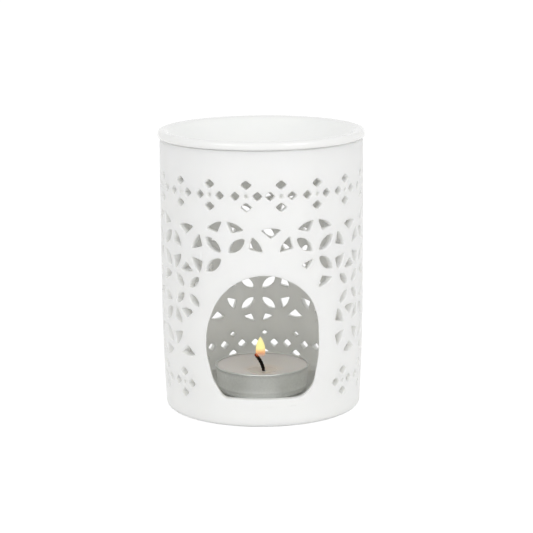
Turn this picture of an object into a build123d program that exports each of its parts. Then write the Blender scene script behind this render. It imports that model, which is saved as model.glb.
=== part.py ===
from build123d import *

import os
from itertools import product
from math import cos, degrees, dist, radians, sin

# Essential oil burner: a pierced porcelain wall with a lift-off dish, and a tealight behind an arch.
# Millimetres, +Z up, the arch faces -Y. The origin is the middle of the foot, on the table.

# Burner body: outer wall
body_height = 107.9
belly_radius = 40.1
belly_low = 48.0
belly_high = 88.0
base_radius = 38.8
top_radius = 39.9
wall = 3.2
base_round = 1.8
lip_round = 1.0

# Burner body: floor and foot
floor_thickness = 3.5
floor_round = 3.0
foot_recess = 1.2
foot_width = 6.0

# Arched opening, cut straight back through the front wall, and the plain border round it
arch_width = 43.5
arch_height = 48.8
arch_sill = 11.2
arch_offset = -0.05
arch_border = 4.4

# Holes in the wall
cut_overrun = 2.0

# Diamond clusters, one band near the top and one near the foot, with turns in degrees to the right.
# A pitch is the least distance between two clusters, and a reach is how far round a band runs.
top_band_drop = 17.4
foot_band_height = 15.0
cluster_rise = 4.25
cluster_reach = 4.3
diamond_width = 4.8
side_diamond_width = 4.2
diamond_height = 3.8
dimple_diameter = 1.7
dimple_depth = 1.0
top_band_turn = 1.2
top_band_front_gap = 19.2
top_band_pitch = 14.5
foot_band_right_turn = 52.3
foot_band_right_pitch = 14.767
foot_band_right_reach = 150.0
foot_band_left_turn = -50.7
foot_band_left_pitch = 15.3
foot_band_left_reach = 90.0

# Petal lattice between the two bands: columns of two large rosettes, with one small rosette
# between each two columns. Its sizes are shares of the height between the bands, and the pitch of
# its columns is at least this share of a large rosette's radius.
lattice_drop = 0.55
lattice_turn = 4.8
rosette_spread_share = 0.2016
large_rosette_share = 0.19894
small_rosette_share = 0.14721
edge_triangle_rise_share = 0.32095
edge_triangle_width_share = 0.106
edge_triangle_height_share = 0.04377
column_pitch_share = 2.32

# How many degrees each column stands off an even pitch, from the middle of the arch to the right
large_column_shifts = [0.6, 0, 0, -1.9, 0, 0, 0]
small_column_shifts = [0.3, 1.7, 0, -0.6, 0, 0, 0]

# Oil dish, whose rim rests on the top of the wall, with a shoulder just inside it
rim_overhang = 0.9
rim_height = 3.2
rim_width = 3.2
rim_round_share = 0.469
rim_under_round = 1.1
dish_depth = 12.0
dish_flat_radius = 8.0
dish_thickness = 3.0
shoulder_height = 2.0
shoulder_round = 0.6
dish_clearance = 0.7

# Tealight cup, pressed from thin sheet, standing on the floor a little left of the middle
cup_radius = 18.9
cup_base_radius = 18.0
cup_height = 11.0
cup_sheet = 0.3
cup_base_round = 1.4
cup_bead_radius = 0.45
cup_side = -0.3

# Wax, burnt down towards the wick, and the gap that keeps cast faces apart
wax_edge_drop = 1.2
wax_pool_drop = 2.4
wax_middle_drop = 3.6
wax_pool_radius = 7.4
cast_gap = 0.05

# Sustainer and wick
sustainer_diameter = 12.5
sustainer_sheet = 0.4
neck_diameter = 2.6
neck_height = 4.0
wick_diameter = 1.2
wick_straight = 2.9
wick_lean = 2.7
wick_lean_rise = 4.4
wick_bend_radius = 3.0

# Outline of the arch, from the right end of the sill round to its left end, as shares of its
# half width and of its height
arch_outline_shares = [
    (0.585, 0.0),
    (0.85, 0.0625),
    (0.96, 0.216),
    (1.0, 0.49),
    (0.94, 0.703),
    (0.75, 0.857),
    (0.37, 0.971),
    (0.12, 1.0),
    (-0.253, 0.977),
    (-0.636, 0.869),
    (-0.895, 0.677),
    (-1.0, 0.428),
    (-0.945, 0.23),
    (-0.82, 0.082),
    (-0.62, 0.0),
]

# How strongly the arch leaves the sill at each end
arch_ease_shares = [0.5, 0.5]

# Corners of the holes, anticlockwise from outside, as shares of the size that the hole follows
large_petal_shares = [(0.093, 0.077), (0.547, 0.453)]
crown_petal_shares = [(0.187, 0.587), (0.52, 0.667), (0.063, 0.88)]
side_petal_shares = [(0.633, 0.19), (1.0, 0.10), (0.727, 0.51)]
short_petal_shares = [(0.063, 0.113), (0.433, 0.247), (0.253, 0.38)]
small_petal_shares = [(0.135, 0.117), (0.60, 0.52)]
inner_triangle_shares = [(-0.324, 0.716), (0.324, 0.716), (0.0, 1.0)]
edge_triangle_shares = [(0.0, -0.67), (0.5, 0.33), (-0.5, 0.33)]
diamond_shares = [(0.5, 0.0), (0.0, 0.5), (-0.5, 0.0), (0.0, -0.5)]

# How far each side of a hole bows outwards, as a share of its length
petal_bow_shares = [0.22, 0.22]
outer_bow_shares = [0.0, 0.1, 0.0]
inner_triangle_bow_shares = [0.09, 0.0, 0.0]
straight_shares = [0.0, 0.0, 0.0, 0.0]

floor_top = foot_recess + floor_thickness
rim_top = body_height + rim_height
top_band_height = body_height - top_band_drop
band_room = top_band_height - foot_band_height
large_rosette_radius = large_rosette_share * band_room
small_rosette_radius = small_rosette_share * band_room
dish_radius = top_radius + rim_overhang
rim_round = rim_round_share * rim_width


def scaled(shares, width, height):
    return [(x * width, z * height) for x, z in shares]


def arc_degrees(length):
    return degrees(length / belly_radius)


def wall_radius(height):
    # The outer face draws in from the belly towards the foot and towards the top
    foot_share = max(0, belly_low - height) / belly_low
    top_share = max(0, height - belly_high) / (body_height - belly_high)
    drawn_in = (belly_radius - base_radius) * foot_share**2
    drawn_in += (belly_radius - top_radius) * top_share**2
    return belly_radius - drawn_in


def wall_plane(turn, height):
    # Stands just outside the wall and faces outwards, with x to the right
    angle = radians(turn)
    outward = Vector(sin(angle), -cos(angle), 0)
    along = Vector(cos(angle), sin(angle), 0)
    origin = outward * (wall_radius(height) + cut_overrun) + Vector(0, 0, height)
    return Plane(origin=origin, x_dir=along, z_dir=outward)


# The arched opening, seen from the front
arch_half_width = arch_width / 2
arch_points = [
    (arch_offset + x, arch_sill + z)
    for x, z in scaled(arch_outline_shares, arch_half_width, arch_height)
]
arch_plane = Plane.XZ.offset(belly_radius + cut_overrun)
with BuildSketch(Plane.XZ) as arch_opening:
    with BuildLine():
        arch_curve = Spline(
            *arch_points, tangents=[(1, 0), (1, 0)], tangent_scalars=arch_ease_shares
        )
        Line(arch_curve @ 1, arch_curve @ 0)
    make_face()


def clear_of_arch(turn, height):
    # True where a corner of a hole lies outside the plain border round the arch
    angle = radians(turn)
    if cos(angle) < 0:
        return True
    corner = Vertex(belly_radius * sin(angle), 0, height)
    return arch_opening.sketch.distance_to(corner) > arch_border


# Middles of the rosettes and of the diamond clusters, each as (turn, height)
lattice_repeats = int(360 / arc_degrees(column_pitch_share * large_rosette_radius))
column_step = 360 / lattice_repeats
large_turns = [
    lattice_turn + column_step * (k + 0.5) + large_column_shifts[k % len(large_column_shifts)]
    for k in range(lattice_repeats)
]
small_turns = [
    lattice_turn + column_step * k + small_column_shifts[k % len(small_column_shifts)]
    for k in range(lattice_repeats)
]
lattice_middle = (top_band_height + foot_band_height) / 2 - lattice_drop
rosette_spread = rosette_spread_share * band_room
upper_height = lattice_middle + rosette_spread
lower_height = lattice_middle - rosette_spread
large_middles = list(product(large_turns, (upper_height, lower_height)))
small_middles = [(turn, lattice_middle) for turn in small_turns]

top_gaps = int((360 - top_band_front_gap) / arc_degrees(top_band_pitch))
top_step = (360 - top_band_front_gap) / top_gaps
top_start = top_band_turn + top_band_front_gap / 2
right_step = arc_degrees(foot_band_right_pitch)
left_step = arc_degrees(foot_band_left_pitch)
right_gaps = int(foot_band_right_reach / right_step)
left_gaps = int(foot_band_left_reach / left_step)
cluster_middles = [(top_start + top_step * k, top_band_height) for k in range(top_gaps + 1)]
cluster_middles += [
    (foot_band_right_turn + right_step * k, foot_band_height) for k in range(right_gaps + 1)
]
cluster_middles += [
    (foot_band_left_turn - left_step * k, foot_band_height) for k in range(left_gaps + 1)
]


def cluster_spots(*offsets):
    return [
        (turn + arc_degrees(x), height + z) for turn, height in cluster_middles for x, z in offsets
    ]


diamond_middles = cluster_spots((0, cluster_rise), (0, -cluster_rise))
side_diamond_middles = cluster_spots((cluster_reach, 0), (-cluster_reach, 0))

# Every kind of hole: its corners from the middle of its group, the bow of its sides, the middles of
# the groups, and the mirrored quarters (to the side, up or down) that hold a copy
quarters = list(product((1, -1), (1, -1)))
halves = [(1, 1), (1, -1)]
edge_triangle_width = edge_triangle_width_share * band_room
edge_triangle_height = edge_triangle_height_share * band_room
edge_triangle = [
    (x, z + edge_triangle_rise_share * band_room)
    for x, z in scaled(edge_triangle_shares, edge_triangle_width, edge_triangle_height)
]


def large_hole(shares):
    return scaled(shares, large_rosette_radius, large_rosette_radius)


def small_hole(shares):
    return scaled(shares, small_rosette_radius, small_rosette_radius)


diamond = scaled(diamond_shares, diamond_width, diamond_height)
side_diamond = scaled(diamond_shares, side_diamond_width, diamond_height)
hole_kinds = [
    (large_hole(large_petal_shares), petal_bow_shares, large_middles, quarters),
    (large_hole(crown_petal_shares), outer_bow_shares, large_middles, quarters),
    (large_hole(side_petal_shares), outer_bow_shares, large_middles, quarters),
    (large_hole(short_petal_shares), straight_shares, large_middles[:1], [(-1, -1)]),
    (small_hole(small_petal_shares), petal_bow_shares, small_middles, quarters),
    (small_hole(inner_triangle_shares), inner_triangle_bow_shares, small_middles, halves),
    (edge_triangle, outer_bow_shares, small_middles, halves),
    (diamond, straight_shares, diamond_middles, [(1, 1)]),
    (side_diamond, straight_shares, side_diamond_middles, [(1, 1)]),
]


with BuildPart() as burner_body:
    with BuildSketch(Plane.XZ):
        with BuildLine():
            outside = Line((belly_radius, belly_low), (belly_radius, belly_high))
            outer_top = TangentArc(
                outside @ 1, (top_radius, body_height), tangent=outside % 1
            )
            outer_base = TangentArc(outside @ 0, (base_radius, 0), tangent=-(outside % 0))
            inside = Line((belly_radius - wall, belly_low), (belly_radius - wall, belly_high))
            inner_top = TangentArc(
                inside @ 1, (top_radius - wall, body_height), tangent=inside % 1
            )
            inner_base = TangentArc(
                inside @ 0, (base_radius - wall, floor_top), tangent=-(inside % 0)
            )
            Line(outer_top @ 1, inner_top @ 1)
            foot_inner = base_radius - foot_width
            Polyline(
                inner_base @ 1,
                (0, floor_top),
                (0, foot_recess),
                (foot_inner, foot_recess),
                (foot_inner, 0),
                outer_base @ 1,
            )
        make_face()
    revolve(axis=Axis.Z)
    floor_face = burner_body.faces().filter_by(Axis.Z).sort_by(Axis.Z)[-2]
    fillet(floor_face.edges(), floor_round)
    rings = burner_body.edges().filter_by(GeomType.CIRCLE)
    fillet(rings.group_by(Axis.Z)[0].sort_by(SortBy.RADIUS)[-1], base_round)
    rings = burner_body.edges().filter_by(GeomType.CIRCLE)
    fillet(rings.group_by(Axis.Z)[-1], lip_round)

    # Arched opening
    with BuildSketch(arch_plane):
        add(arch_opening.sketch_local)
    extrude(amount=-belly_radius, mode=Mode.SUBTRACT)

    # Blind dimple in the middle of each diamond cluster
    with BuildSketch(*[wall_plane(turn, height) for turn, height in cluster_middles]):
        Circle(dimple_diameter / 2)
    extrude(amount=-cut_overrun - dimple_depth, mode=Mode.SUBTRACT, clean=False)

    # Pierced pattern
    for corners, bow_shares, middles, copies in hole_kinds:
        for side, way in copies:
            x_middle = sum(x for x, z in corners) / len(corners)
            z_middle = sum(z for x, z in corners) / len(corners)
            mouth = [(side * (x - x_middle), way * (z - z_middle)) for x, z in corners]
            mouth_planes = [
                wall_plane(turn + side * arc_degrees(x_middle), height + way * z_middle)
                for turn, height in middles
                if all(
                    clear_of_arch(turn + side * arc_degrees(x), height + way * z)
                    for x, z in corners
                )
            ]
            if not mouth_planes:
                continue
            with BuildSketch(*mouth_planes) as mouths:
                with BuildLine():
                    for start, end, bow_share in zip(mouth, mouth[1:] + mouth[:1], bow_shares):
                        if bow_share:
                            bow = -side * way * bow_share * dist(start, end)
                            SagittaArc(start, end, bow)
                        else:
                            Line(start, end)
                make_face()
    extrude(amount=-2 * cut_overrun - wall, mode=Mode.SUBTRACT, clean=False)
burner_body.part.label = "burner_body"


with BuildPart() as oil_dish:
    shoulder_radius = top_radius - wall - dish_clearance
    bowl_bottom = rim_top - dish_depth
    bowl_under = bowl_bottom - dish_thickness
    shoulder_foot = body_height - shoulder_height
    with BuildSketch(Plane.XZ):
        with BuildLine():
            bowl_floor = Line((0, bowl_bottom), (dish_flat_radius, bowl_bottom))
            bowl_side = TangentArc(
                bowl_floor @ 1, (dish_radius - rim_width, rim_top), tangent=bowl_floor % 1
            )
            Polyline(
                bowl_side @ 1,
                (dish_radius, rim_top),
                (dish_radius, body_height),
                (shoulder_radius, body_height),
                (shoulder_radius, shoulder_foot),
            )
            under_floor = Line((0, bowl_under), (dish_flat_radius, bowl_under))
            TangentArc(
                under_floor @ 1, (shoulder_radius, shoulder_foot), tangent=under_floor % 1
            )
            Line(under_floor @ 0, bowl_floor @ 0)
        make_face()
    revolve(axis=Axis.Z)
    rings = oil_dish.edges().filter_by(GeomType.CIRCLE)
    fillet(rings.group_by(Axis.Z)[-1], rim_round)
    rings = oil_dish.edges().filter_by(GeomType.CIRCLE)
    fillet(rings.sort_by_distance((dish_radius, 0, body_height))[0], rim_under_round)
    rings = oil_dish.edges().filter_by(GeomType.CIRCLE)
    fillet(rings.sort_by_distance((shoulder_radius, 0, shoulder_foot))[0], shoulder_round)
oil_dish.part.label = "oil_dish"

# The tealight stands on the floor, about its own upright axis
cup_section = Plane(origin=(cup_side, 0, 0), x_dir=(1, 0, 0), z_dir=(0, -1, 0))
cup_axis = Axis((cup_side, 0, 0), (0, 0, 1))
cup_top = floor_top + cup_height
cup_inside = floor_top + cup_sheet
cup_wall_radius = cup_radius - cup_bead_radius
bead_height = cup_top - cup_bead_radius

with BuildPart() as tealight_cup:
    with BuildSketch(cup_section):
        with BuildLine():
            Polyline(
                (0, floor_top),
                (cup_base_radius, floor_top),
                (cup_wall_radius, bead_height),
                (cup_wall_radius - cup_sheet, bead_height),
                (cup_base_radius - cup_sheet, cup_inside),
                (0, cup_inside),
                close=True,
            )
        make_face()
    revolve(axis=cup_axis)
    rings = tealight_cup.edges().filter_by(GeomType.CIRCLE)
    base_side = cup_side + cup_base_radius
    fillet(rings.sort_by_distance((base_side, 0, floor_top))[0], cup_base_round)
    rings = tealight_cup.edges().filter_by(GeomType.CIRCLE)
    inner_ring = rings.sort_by_distance((base_side - cup_sheet, 0, cup_inside))[0]
    fillet(inner_ring, cup_base_round - cup_sheet)
    with BuildSketch(cup_section):
        with Locations((cup_wall_radius, bead_height)):
            Circle(cup_bead_radius)
    revolve(axis=cup_axis)
tealight_cup.part.label = "tealight_cup"

sustainer_top = cup_inside + sustainer_sheet
neck_top = cup_inside + neck_height
wick_hole = wick_diameter / 2 + cast_gap

with BuildPart() as wick_sustainer:
    with BuildSketch(cup_section):
        with BuildLine():
            Polyline(
                (wick_hole, cup_inside),
                (sustainer_diameter / 2, cup_inside),
                (sustainer_diameter / 2, sustainer_top),
                (neck_diameter / 2, sustainer_top),
                (neck_diameter / 2, neck_top),
                (wick_hole, neck_top),
                close=True,
            )
        make_face()
    revolve(axis=cup_axis)
wick_sustainer.part.label = "wick_sustainer"

wax_top = cup_top - wax_edge_drop
wax_pool_height = cup_top - wax_pool_drop
wax_middle_height = cup_top - wax_middle_drop

with BuildPart() as tealight_wax:
    cup_lean = (cup_wall_radius - cup_base_radius) / (bead_height - cup_inside)
    wax_base_radius = cup_base_radius - cup_sheet - cast_gap
    wax_top_radius = wax_base_radius + cup_lean * (wax_top - cup_inside)
    with BuildSketch(cup_section):
        with BuildLine():
            Polyline(
                (sustainer_diameter / 2 + cast_gap, cup_inside),
                (wax_base_radius, cup_inside),
                (wax_top_radius, wax_top),
                (wax_pool_radius, wax_pool_height),
                (wick_hole, wax_middle_height),
                (wick_hole, neck_top + cast_gap),
                (neck_diameter / 2 + cast_gap, neck_top + cast_gap),
                (neck_diameter / 2 + cast_gap, sustainer_top + cast_gap),
                (sustainer_diameter / 2 + cast_gap, sustainer_top + cast_gap),
                close=True,
            )
        make_face()
    revolve(axis=cup_axis)
    rings = tealight_wax.edges().filter_by(GeomType.CIRCLE)
    fillet(
        rings.sort_by_distance((cup_side + wax_base_radius, 0, cup_inside))[0], cup_base_round
    )
tealight_wax.part.label = "tealight_wax"

with BuildPart() as wick:
    bend_height = wax_middle_height + wick_straight
    with BuildLine() as wick_line:
        FilletPolyline(
            (cup_side, 0, cup_inside),
            (cup_side, 0, bend_height),
            (cup_side - wick_lean, 0, bend_height + wick_lean_rise),
            radius=wick_bend_radius,
        )
    with BuildSketch(Plane.XY.offset(cup_inside)):
        with Locations((cup_side, 0)):
            Circle(wick_diameter / 2)
    sweep()
wick.part.label = "wick"

os.makedirs("parts", exist_ok=True)
for piece in (burner_body, oil_dish, tealight_cup, tealight_wax, wick_sustainer, wick):
    export_step(piece.part, f"parts/{piece.part.label}.step")
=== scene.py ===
from math import asin, atan, cos, degrees, hypot, pi, radians, sin, tan

import bmesh
import bpy
from mathutils import Matrix, Vector, noise
from mathutils.geometry import intersect_point_line


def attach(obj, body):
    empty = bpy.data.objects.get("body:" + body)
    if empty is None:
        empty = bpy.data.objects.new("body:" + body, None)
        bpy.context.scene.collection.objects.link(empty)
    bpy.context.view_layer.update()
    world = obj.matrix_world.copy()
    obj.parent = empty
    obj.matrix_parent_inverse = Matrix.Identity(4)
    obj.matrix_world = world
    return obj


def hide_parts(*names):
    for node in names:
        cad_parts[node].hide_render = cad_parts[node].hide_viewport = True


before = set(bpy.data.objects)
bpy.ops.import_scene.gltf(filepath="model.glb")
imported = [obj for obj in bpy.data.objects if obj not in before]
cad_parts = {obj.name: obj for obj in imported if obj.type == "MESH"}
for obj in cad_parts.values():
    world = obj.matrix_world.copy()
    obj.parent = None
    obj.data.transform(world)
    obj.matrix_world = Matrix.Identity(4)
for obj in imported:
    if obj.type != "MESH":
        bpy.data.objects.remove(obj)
for name in ("Cube", "Light", "Camera"):
    if name in bpy.data.objects:
        bpy.data.objects.remove(bpy.data.objects[name])
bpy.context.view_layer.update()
print("frame loaded:", ", ".join(sorted(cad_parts)))

# Everything is modelled in millimetres and brought to metres when a piece is finished
metresPerMm = 0.001
floorTop = 4.7  # the tealight stands on it
near = 0.01  # slack where places are compared
level = 0.9  # a face whose normal has more z than this lies level
upright = 0.5  # and one whose normal has less z than this stands on its edge
nearCut = 0.0001  # a cut goes through the vertices that lie this near to it
# Vertices that lie nearer to each other than this are merged
weld = {"hole": 0.01, "archway": 0.001, "wall": 0.004, "spun": 0.0005}


def toMesh(bm, name):
    mesh = bpy.data.meshes.new(name)
    bm.to_mesh(mesh)
    bm.free()
    return mesh


def addObject(name, data):
    added = bpy.data.objects.new(name, data)
    bpy.context.collection.objects.link(added)
    return added


def roundOff(bm, geom, offset, segments, affect="EDGES", **more):
    bmesh.ops.bevel(
        bm, geom=geom, offset=offset, segments=segments, profile=0.5, affect=affect, material=-1,
        clamp_overlap=True, **more,
    )


def finishPiece(bm, name, body, material, replaces=()):
    bmesh.ops.recalc_face_normals(bm, faces=bm.faces)
    bmesh.ops.scale(bm, vec=(metresPerMm,) * 3, verts=bm.verts)
    mesh = toMesh(bm, name)
    mesh.shade_smooth()
    mesh.materials.append(material)
    piece = addObject(name, mesh)
    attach(piece, body)
    if replaces:
        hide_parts(*replaces)
    triangles = sum(len(p.vertices) - 2 for p in mesh.polygons)
    print(f"{name}: {len(mesh.vertices)} vertices, {triangles} triangles")
    return piece


def addNode(tree, kind, place, **settings):
    node = tree.nodes.new(kind)
    node.location = place
    for key, value in settings.items():
        setattr(node, key, value)
    return node


def feed(tree, socket, value):
    # A number, colour or vector is set on the socket, and the output of a node is linked to it
    if isinstance(value, (int, float)):
        socket.default_value = value
    elif isinstance(value, tuple):
        socket.default_value = (*value, 1.0) if socket.type == "RGBA" else value
    else:
        tree.links.new(value, socket)


def setInputs(tree, node, values):
    for label, value in values.items():
        feed(tree, node.inputs[label], value)


def addMath(tree, place, operation, first, second):
    node = addNode(tree, "ShaderNodeMath", place, operation=operation)
    feed(tree, node.inputs[0], first)
    feed(tree, node.inputs[1], second)
    return node.outputs[0]


def addNoise(tree, place, vector, scale, detail, roughness=0.5):
    node = addNode(tree, "ShaderNodeTexNoise", place)
    setInputs(tree, node, {
        "Vector": vector, "Scale": scale, "Detail": detail, "Roughness": roughness,
    })
    return node.outputs["Fac"]


def addRange(tree, place, value, low, high, outLow=0.0, outHigh=1.0):
    node = addNode(tree, "ShaderNodeMapRange", place)
    setInputs(tree, node, {
        "Value": value, "From Min": low, "From Max": high, "To Min": outLow, "To Max": outHigh,
    })
    return node.outputs["Result"]


def addMix(tree, place, share, first, second):
    node = addNode(tree, "ShaderNodeMix", place, data_type="RGBA")
    for k, value in ((0, share), (6, first), (7, second)):  # factor, A and B of a colour mix
        feed(tree, node.inputs[k], value)
    return node.outputs[2]


def addSpot(tree, place):
    return addNode(tree, "ShaderNodeTexCoord", place).outputs["Object"]


def addBump(tree, place, height, strength, distance):
    node = addNode(tree, "ShaderNodeBump", place)
    setInputs(tree, node, {"Height": height, "Strength": strength, "Distance": distance})
    return node.outputs["Normal"]


def newGroup(name, inputs):
    # Four values make a colour and three a vector. Both groups put out the same three things
    group = bpy.data.node_groups.new(name, "ShaderNodeTree")
    kinds = {1: "NodeSocketFloat", 3: "NodeSocketVector", 4: "NodeSocketColor"}
    for label, value in inputs.items():
        kind = kinds[len(value) if isinstance(value, tuple) else 1]
        group.interface.new_socket(label, in_out="INPUT", socket_type=kind).default_value = value
    for label, kind in (("Colour", kinds[4]), ("Roughness", kinds[1]), ("Height", kinds[1])):
        group.interface.new_socket(label, in_out="OUTPUT", socket_type=kind)
    start = addNode(group, "NodeGroupInput", (-1000, 0))
    end = addNode(group, "NodeGroupOutput", (700, 0))
    return group, start.outputs, end


# Fired clay: faint clouds of tone and a fine grain, under a thin or a thick glaze
def makeFiredClay():
    group, given, end = newGroup("firedClay", {
        "Body Colour": (0.9, 0.9, 0.89, 1), "Cloud Colour": (0.86, 0.86, 0.85, 1),
        "Cloud Scale": 40.0, "Cloud Share": 0.5, "Grain Scale": 900.0,
        "Roughness Low": 0.4, "Roughness High": 0.5, "Wave Height": 0.5,
    })
    spot = addSpot(group, (-1000, 300))
    clouds = addNoise(group, (-800, 200), spot, given["Cloud Scale"], 3.0)
    grain = addNoise(group, (-800, -100), spot, given["Grain Scale"], 4.0, 0.6)
    share = addRange(group, (-600, 200), clouds, 0.38, 0.68, 0.0, given["Cloud Share"])
    waves = addMath(group, (-350, -350), "MULTIPLY", clouds, given["Wave Height"])
    setInputs(group, end, {
        "Colour": addMix(group, (-350, 250), share, given["Body Colour"], given["Cloud Colour"]),
        "Roughness": addRange(
            group, (-350, -100), grain, 0.3, 0.7, given["Roughness Low"], given["Roughness High"]
        ),
        "Height": addMath(group, (-150, -300), "ADD", waves, grain),
    })
    return group


# Pressed sheet metal: streaks from the drawing die, fine scratches and soft dents
def makePressedMetal():
    group, given, end = newGroup("pressedMetal", {
        "Metal Colour": (0.8, 0.8, 0.8, 1), "Dull Colour": (0.6, 0.6, 0.6, 1),
        "Roughness Low": 0.3, "Roughness High": 0.45,
        "Dent Scale": 120.0, "Streak Stretch": (1.0, 1.0, 0.08),
    })
    spot = addSpot(group, (-1000, 300))
    stretch = addNode(group, "ShaderNodeVectorMath", (-820, 200), operation="MULTIPLY")
    feed(group, stretch.inputs[0], spot)
    feed(group, stretch.inputs[1], given["Streak Stretch"])
    streaks = addNoise(group, (-620, 250), stretch.outputs[0], 2200.0, 3.0, 0.6)
    dents = addNoise(group, (-620, -50), spot, given["Dent Scale"], 2.0)
    dull = addMath(group, (-420, 100), "MULTIPLY", streaks, dents)
    share = addRange(group, (-240, 150), dull, 0.12, 0.4)
    fine = addMath(group, (-240, -200), "MULTIPLY", streaks, 0.12)
    setInputs(group, end, {
        "Colour": addMix(group, (0, 250), share, given["Metal Colour"], given["Dull Colour"]),
        "Roughness": addRange(
            group, (0, -50), streaks, 0.3, 0.7, given["Roughness Low"], given["Roughness High"]
        ),
        "Height": addMath(group, (0, -300), "ADD", fine, dents),
    })
    return group


firedClay = makeFiredClay()
pressedMetal = makePressedMetal()


def newMaterial(name):
    material = bpy.data.materials.new(name)
    material.use_nodes = True
    tree = material.node_tree
    return material, tree, tree.nodes["Principled BSDF"]


def placeGroup(tree, group, values):
    node = addNode(tree, "ShaderNodeGroup", (-600, 0), node_tree=group)
    setInputs(tree, node, values)
    return node


def connectSurface(tree, shader, source, strength, distance):
    setInputs(tree, shader, {
        "Base Color": source.outputs["Colour"], "Roughness": source.outputs["Roughness"],
        "Normal": addBump(tree, (-280, -250), source.outputs["Height"], strength, distance),
    })


def awayFromAxis(tree, place, spot, centre):
    # How far a spot lies from the upright axis at x = centre, in metres
    flat = addNode(tree, "ShaderNodeMapping", place)
    setInputs(tree, flat, {
        "Vector": spot, "Location": (-centre * metresPerMm, 0, 0), "Scale": (1, 1, 0),
    })
    away = addNode(tree, "ShaderNodeVectorMath", (place[0] + 180, place[1]), operation="LENGTH")
    feed(tree, away.inputs[0], flat.outputs[0])
    return away.outputs["Value"]


def satinPorcelain():
    material, tree, shader = newMaterial("satin_porcelain")
    clay = placeGroup(tree, firedClay, {
        "Body Colour": (0.932, 0.937, 0.903), "Cloud Colour": (0.9, 0.904, 0.88),
        "Cloud Scale": 45.0, "Cloud Share": 0.6, "Grain Scale": 1400.0,
        "Roughness Low": 0.42, "Roughness High": 0.56, "Wave Height": 3.0,
    })
    connectSurface(tree, shader, clay, strength=0.25, distance=0.0001)
    setInputs(tree, shader, {
        "Subsurface Weight": 0.85, "Subsurface Radius": (1.0, 0.99, 0.94),
        "Subsurface Scale": 0.006, "Specular IOR Level": 0.4,
    })
    return material


def glossyGlaze(rimFrom, rimTo):
    # Painted shade: the rim gets a greyer colour than the bowl, for the darker light and
    # reflections it shows
    rimPaintedShade = (0.86, 0.862, 0.85)  # a shade greyer than the bowl
    material, tree, shader = newMaterial("glossy_glaze")
    clay = placeGroup(tree, firedClay, {
        "Body Colour": (0.915, 0.922, 0.905), "Cloud Colour": (0.885, 0.9, 0.885),
        "Cloud Scale": 60.0, "Cloud Share": 0.7, "Grain Scale": 500.0,
        "Roughness Low": 0.1, "Roughness High": 0.16, "Wave Height": 2.0,
    })
    connectSurface(tree, shader, clay, strength=0.12, distance=0.0001)
    spot = addSpot(tree, (-1300, 400))
    away = awayFromAxis(tree, (-1120, 400), spot, 0)
    rimShadeShare = addRange(tree, (-760, 400), away, rimFrom * metresPerMm, rimTo * metresPerMm)
    setInputs(tree, shader, {
        "Base Color": addMix(tree, (-280, 300), rimShadeShare, clay.outputs["Colour"], rimPaintedShade),
        "Subsurface Weight": 0.1, "Subsurface Radius": (1.0, 1.0, 0.9),
        "Subsurface Scale": 0.001, "Coat Weight": 0.35, "Coat Roughness": 0.06,
    })
    return material


def bareMetal(name, strength, distance, values):
    material, tree, shader = newMaterial(name)
    connectSurface(tree, shader, placeGroup(tree, pressedMetal, values), strength, distance)
    setInputs(tree, shader, {"Metallic": 1.0})
    return material


def satinAluminium():
    return bareMetal("satin_aluminium", strength=0.1, distance=0.0002, values={
        "Metal Colour": (0.84, 0.85, 0.83), "Dull Colour": (0.76, 0.77, 0.75),
        "Roughness Low": 0.34, "Roughness High": 0.46,
        "Dent Scale": 110.0, "Streak Stretch": (0.5, 0.5, 0.5),
    })


def stampedSteel():
    return bareMetal("stamped_steel", strength=0.3, distance=0.0001, values={
        "Metal Colour": (0.62, 0.62, 0.63), "Dull Colour": (0.45, 0.44, 0.43),
        "Roughness Low": 0.28, "Roughness High": 0.5,
        "Dent Scale": 400.0, "Streak Stretch": (0.1, 1.0, 1.0),
    })


waxLook = {
    "dry": (0.86, 0.825, 0.81), "bloom": (0.91, 0.88, 0.865), "bloomScale": 900.0,
    "melted": (0.85, 0.75, 0.66), "poolFrom": 0.5, "poolTo": 1.15,  # shares of the pool's radius
    "wobble": 0.0012, "wobbleScale": 260.0,  # of the pool's edge, in metres
    "dryRough": 0.42, "meltedRough": 0.16,
}


def paraffinWax(centre, poolRadius):
    # The melted pool round the wick is darker and glossier than the dry wax outside it
    material, tree, shader = newMaterial("paraffin_wax")
    spot = addSpot(tree, (-1500, 200))
    away = awayFromAxis(tree, (-1140, 200), spot, centre)
    wobble = addNoise(tree, (-1140, -50), spot, waxLook["wobbleScale"], 3.0)
    wobbled = addRange(
        tree, (-960, -50), wobble, 0.0, 1.0, -waxLook["wobble"], waxLook["wobble"]
    )
    reach = addMath(tree, (-780, 100), "ADD", away, wobbled)
    pool = addRange(
        tree, (-600, 250), reach, poolRadius * waxLook["poolFrom"] * metresPerMm,
        poolRadius * waxLook["poolTo"] * metresPerMm, 1.0, 0.0,
    )
    bloom = addNoise(tree, (-780, -250), spot, waxLook["bloomScale"], 4.0, 0.6)
    dry = addMix(tree, (-420, -50), bloom, waxLook["dry"], waxLook["bloom"])
    setInputs(tree, shader, {
        "Base Color": addMix(tree, (-240, 150), pool, dry, waxLook["melted"]),
        "Roughness": addRange(
            tree, (-240, -100), pool, 0.0, 1.0, waxLook["dryRough"], waxLook["meltedRough"]
        ),
        "Normal": addBump(tree, (-240, -350), bloom, strength=0.3, distance=0.0001),
        "Subsurface Weight": 0.5, "Subsurface Radius": (1.0, 0.75, 0.6),
        "Subsurface Scale": 0.002,
        # Painted light: the faint pinkish glow of the wax stands in for the flame's light shining
        # through it
        "Emission Color": (1.0, 0.93, 0.91), "Emission Strength": 0.07,
    })
    return material


wickLook = {
    "crust": (0.004, 0.003, 0.003), "ash": (0.02, 0.014, 0.011), "crustScale": 2600.0,
    "hot": (0.16, 0.012, 0.006), "ember": (0.75, 0.05, 0.02), "emberPower": 0.6,
}


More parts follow.
